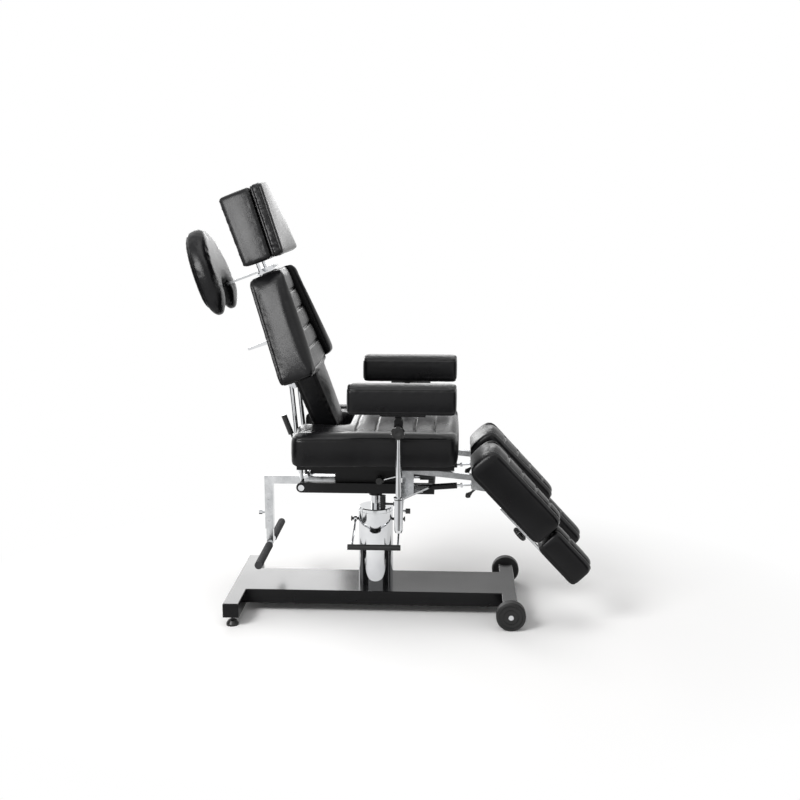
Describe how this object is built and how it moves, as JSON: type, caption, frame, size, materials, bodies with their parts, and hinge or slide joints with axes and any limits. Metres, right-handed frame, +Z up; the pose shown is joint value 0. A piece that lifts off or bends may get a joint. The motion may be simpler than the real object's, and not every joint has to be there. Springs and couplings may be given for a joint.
{
  "type": "tattoo chair",
  "caption": "Tattoo chair on an H-shaped base with a foot-pumped column, reclining back, headrest, face cradle, armrests, split leg rests and a rear grip bar.",
  "frame": {"origin": "centre of the overall box on the floor, under the pump and seat", "axes": "+X towards the leg rests, +Y towards the client's left when seated, +Z up"},
  "size_m": [1.4266, 0.774, 1.5268],
  "materials": {
    "black_paint": "gloss black",
    "chrome": "polished",
    "black_leather": "semi-gloss black",
    "black_plastic": "black",
    "black_rubber": "black",
    "grey_foam": "dark grey foam"
  },
  "bodies": {
    "base": {"base_frame": "black_paint", "pump_cover": "chrome", "pump_valve": "black_plastic", "axle_bolts": "chrome"},
    "lift": {"piston_rod": "chrome"},
    "pedal": {"pedal_bail": "chrome", "pedal_bar": "black_rubber"},
    "seat": {"seat_frame": "black_paint", "swivel_socket": "black_paint", "seat_cushion": "black_leather", "leg_brackets": "chrome", "arm_sleeves": "chrome"},
    "tilt_handle": {"tilt_lever": "chrome"},
    "brake_handle": {"brake_lever": "chrome"},
    "back": {"back_uprights": "chrome", "back_cushion": "black_leather", "back_bolsters": "black_leather", "head_guides": "chrome"},
    "recline_handle": {"recline_lever": "black_plastic"},
    "headrest": {"head_posts": "chrome", "head_block": "black_leather", "head_pad": "black_leather"},
    "head_lock": {"head_lock_lever": "chrome"},
    "cradle_arm": {"cradle_bar": "chrome"},
    "face_cradle": {"cradle_pad": "black_leather"},
    "grip_frame": {"rear_tube": "chrome"},
    "grip_bar": {"rear_slide_tube": "chrome", "rear_cross_tube": "chrome", "rear_grips": "grey_foam"},
    "grip_pin": {"rear_pin": "chrome"},
    "levelling_foot_near": {"levelling_foot_near": "black_plastic"},
    "wheel_near": {"wheel_near": "black_rubber"},
    "arm_post_near": {"arm_post_near": "chrome"},
    "arm_clamp_near": {"arm_clamp_near": "black_paint"},
    "arm_knob_near": {"arm_knob_near": "black_plastic"},
    "armrest_near": {"arm_bracket_near": "black_paint", "arm_cushion_near": "black_leather"},
    "leg_near": {"leg_rail_near": "chrome", "leg_cushion_near": "black_leather"},
    "leg_knob_near": {"leg_knob_near": "black_plastic"},
    "release_knob_near": {"release_knob_near": "black_plastic"},
    "foot_near": {"foot_slide_near": "chrome", "foot_cushion_near": "black_leather"},
    "gas_spring_near": {"gas_spring_near": "black_paint"},
    "spring_rod_near": {"spring_rod_near": "chrome"},
    "levelling_foot_far": {"levelling_foot_far": "black_plastic"},
    "wheel_far": {"wheel_far": "black_rubber"},
    "arm_post_far": {"arm_post_far": "chrome"},
    "arm_clamp_far": {"arm_clamp_far": "black_paint"},
    "arm_knob_far": {"arm_knob_far": "black_plastic"},
    "armrest_far": {"arm_bracket_far": "black_paint", "arm_cushion_far": "black_leather"},
    "leg_far": {"leg_rail_far": "chrome", "leg_cushion_far": "black_leather"},
    "leg_knob_far": {"leg_knob_far": "black_plastic"},
    "release_knob_far": {"release_knob_far": "black_plastic"},
    "foot_far": {"foot_slide_far": "chrome", "foot_cushion_far": "black_leather"},
    "gas_spring_far": {"gas_spring_far": "black_paint"},
    "spring_rod_far": {"spring_rod_far": "chrome"}
  },
  "joints": [
    {"name": "seat_lift", "type": "slide", "parent": "base", "child": "lift", "axis": [0, 0, 1], "range_m": [0, 0.16]},
    {"name": "seat_swivel", "type": "hinge", "parent": "lift", "child": "seat", "pos_m": [-0.0505, 0, 0.43], "axis": [0, 0, 1], "continuous": true},
    {"name": "pedal_press", "type": "hinge", "parent": "base", "child": "pedal", "pos_m": [-0.0505, 0, 0.32], "axis": [1, 0, 0], "range_deg": [0, 25], "stiffness_Nm_per_rad": 6, "springref_deg": -11.46},
    {"name": "tilt_lever_lift", "type": "hinge", "parent": "seat", "child": "tilt_handle", "pos_m": [-0.0285, -0.13, 0.497], "axis": [0, -1, 0], "range_deg": [0, 8]},
    {"name": "brake_lever_turn", "type": "hinge", "parent": "seat", "child": "brake_handle", "pos_m": [0.0615, -0.2, 0.468], "axis": [0, 1, 0], "range_deg": [-15, 15]},
    {"name": "back_recline", "type": "hinge", "parent": "seat", "child": "back", "pos_m": [-0.3055, 0, 0.465], "axis": [0, -1, 0], "range_deg": [-5, 65]},
    {"name": "recline_lever_pull", "type": "hinge", "parent": "back", "child": "recline_handle", "pos_m": [-0.29072, -0.06, 0.49945], "axis": [0, -1, 0], "range_deg": [0, 15], "stiffness_Nm_per_rad": 2, "springref_deg": -22.92},
    {"name": "head_height", "type": "slide", "parent": "back", "child": "headrest", "axis": [-0.3535, 0, 0.9354], "range_m": [-0.015, 0.08]},
    {"name": "head_lock_turn", "type": "hinge", "parent": "back", "child": "head_lock", "pos_m": [-0.39025, 0, 0.98352], "axis": [0, -1, 0], "range_deg": [0, 30]},
    {"name": "cradle_reach", "type": "slide", "parent": "back", "child": "cradle_arm", "axis": [0.9354, 0, 0.3535], "range_m": [-0.05, 0.05]},
    {"name": "cradle_tilt", "type": "hinge", "parent": "cradle_arm", "child": "face_cradle", "pos_m": [-0.60582, 0, 1.16076], "axis": [0, -1, 0], "range_deg": [-20, 20]},
    {"name": "grip_reach", "type": "slide", "parent": "seat", "child": "grip_frame", "axis": [-1, 0, 0], "range_m": [0, 0.1]},
    {"name": "grip_height", "type": "slide", "parent": "grip_frame", "child": "grip_bar", "axis": [0, 0, 1], "range_m": [-0.08, 0.03]},
    {"name": "grip_pin_pull", "type": "slide", "parent": "grip_frame", "child": "grip_pin", "axis": [-1, 0, 0], "range_m": [0, 0.01], "stiffness_N_per_m": 400, "springref_m": -0.01},
    {"name": "level_near", "type": "slide", "parent": "base", "child": "levelling_foot_near", "axis": [0, 0, -1], "range_m": [0, 0.015]},
    {"name": "wheel_roll_near", "type": "hinge", "parent": "base", "child": "wheel_near", "pos_m": [0.4345, -0.246, 0.0515], "axis": [0, 1, 0], "continuous": true},
    {"name": "arm_height_near", "type": "slide", "parent": "seat", "child": "arm_post_near", "axis": [0, 0, 1], "range_m": [0, 0.07]},
    {"name": "arm_swivel_near", "type": "hinge", "parent": "arm_post_near", "child": "arm_clamp_near", "pos_m": [0.0495, -0.328, 0.72], "axis": [0, 0, 1], "range_deg": [-90, 90]},
    {"name": "arm_knob_turn_near", "type": "hinge", "parent": "arm_clamp_near", "child": "arm_knob_near", "pos_m": [0.0495, -0.352, 0.719], "axis": [0, -1, 0], "continuous": true},
    {"name": "arm_tilt_near", "type": "hinge", "parent": "arm_clamp_near", "child": "armrest_near", "pos_m": [0.0495, -0.328, 0.752], "axis": [0, -1, 0], "range_deg": [-20, 20]},
    {"name": "leg_raise_near", "type": "hinge", "parent": "seat", "child": "leg_near", "pos_m": [0.3055, -0.175, 0.525], "axis": [0, -1, 0], "range_deg": [-8, 47]},
    {"name": "leg_knob_turn_near", "type": "hinge", "parent": "leg_near", "child": "leg_knob_near", "pos_m": [0.47063, -0.175, 0.33032], "axis": [0.7314, 0, 0.682], "continuous": true},
    {"name": "release_press_near", "type": "hinge", "parent": "leg_near", "child": "release_knob_near", "pos_m": [0.31416, -0.173, 0.48932], "axis": [0, 1, 0], "range_deg": [0, 12], "stiffness_Nm_per_rad": 0.5, "springref_deg": -17.19},
    {"name": "foot_reach_near", "type": "slide", "parent": "leg_near", "child": "foot_near", "axis": [0.682, 0, -0.7314], "range_m": [0, 0.1]},
    {"name": "spring_tilt_near", "type": "hinge", "parent": "seat", "child": "gas_spring_near", "pos_m": [0.1095, -0.15, 0.478], "axis": [0, -1, 0], "range_deg": [-4, 4]},
    {"name": "spring_stroke_near", "type": "slide", "parent": "gas_spring_near", "child": "spring_rod_near", "axis": [0.9969, 0, 0.079], "range_m": [-0.006, 0.03]},
    {"name": "level_far", "type": "slide", "parent": "base", "child": "levelling_foot_far", "axis": [0, 0, -1], "range_m": [0, 0.015]},
    {"name": "wheel_roll_far", "type": "hinge", "parent": "base", "child": "wheel_far", "pos_m": [0.4345, 0.246, 0.0515], "axis": [0, 1, 0], "continuous": true},
    {"name": "arm_height_far", "type": "slide", "parent": "seat", "child": "arm_post_far", "axis": [0, 0, 1], "range_m": [0, 0.07]},
    {"name": "arm_swivel_far", "type": "hinge", "parent": "arm_post_far", "child": "arm_clamp_far", "pos_m": [0.0495, 0.328, 0.72], "axis": [0, 0, 1], "range_deg": [-90, 90]},
    {"name": "arm_knob_turn_far", "type": "hinge", "parent": "arm_clamp_far", "child": "arm_knob_far", "pos_m": [0.0495, 0.352, 0.719], "axis": [0, 1, 0], "continuous": true},
    {"name": "arm_tilt_far", "type": "hinge", "parent": "arm_clamp_far", "child": "armrest_far", "pos_m": [0.0495, 0.328, 0.752], "axis": [0, -1, 0], "range_deg": [-20, 20]},
    {"name": "leg_raise_far", "type": "hinge", "parent": "seat", "child": "leg_far", "pos_m": [0.3055, 0.175, 0.525], "axis": [0, -1, 0], "range_deg": [-8, 47]},
    {"name": "leg_knob_turn_far", "type": "hinge", "parent": "leg_far", "child": "leg_knob_far", "pos_m": [0.47063, 0.175, 0.33032], "axis": [0.7314, 0, 0.682], "continuous": true},
    {"name": "release_press_far", "type": "hinge", "parent": "leg_far", "child": "release_knob_far", "pos_m": [0.31416, 0.173, 0.48932], "axis": [0, 1, 0], "range_deg": [0, 12], "stiffness_Nm_per_rad": 0.5, "springref_deg": -17.19},
    {"name": "foot_reach_far", "type": "slide", "parent": "leg_far", "child": "foot_far", "axis": [0.682, 0, -0.7314], "range_m": [0, 0.1]},
    {"name": "spring_tilt_far", "type": "hinge", "parent": "seat", "child": "gas_spring_far", "pos_m": [0.1095, 0.15, 0.478], "axis": [0, -1, 0], "range_deg": [-4, 4]},
    {"name": "spring_stroke_far", "type": "slide", "parent": "gas_spring_far", "child": "spring_rod_far", "axis": [0.9969, 0, 0.079], "range_m": [-0.006, 0.03]}
  ],
  "couplings": [
    {"joint": "spring_tilt_near", "follows": "leg_raise_near", "ratio": 0.031},
    {"joint": "spring_stroke_near", "follows": "leg_raise_near", "m_per_rad": 0.0302},
    {"joint": "spring_tilt_far", "follows": "leg_raise_far", "ratio": 0.031},
    {"joint": "spring_stroke_far", "follows": "leg_raise_far", "m_per_rad": 0.0302}
  ]
}
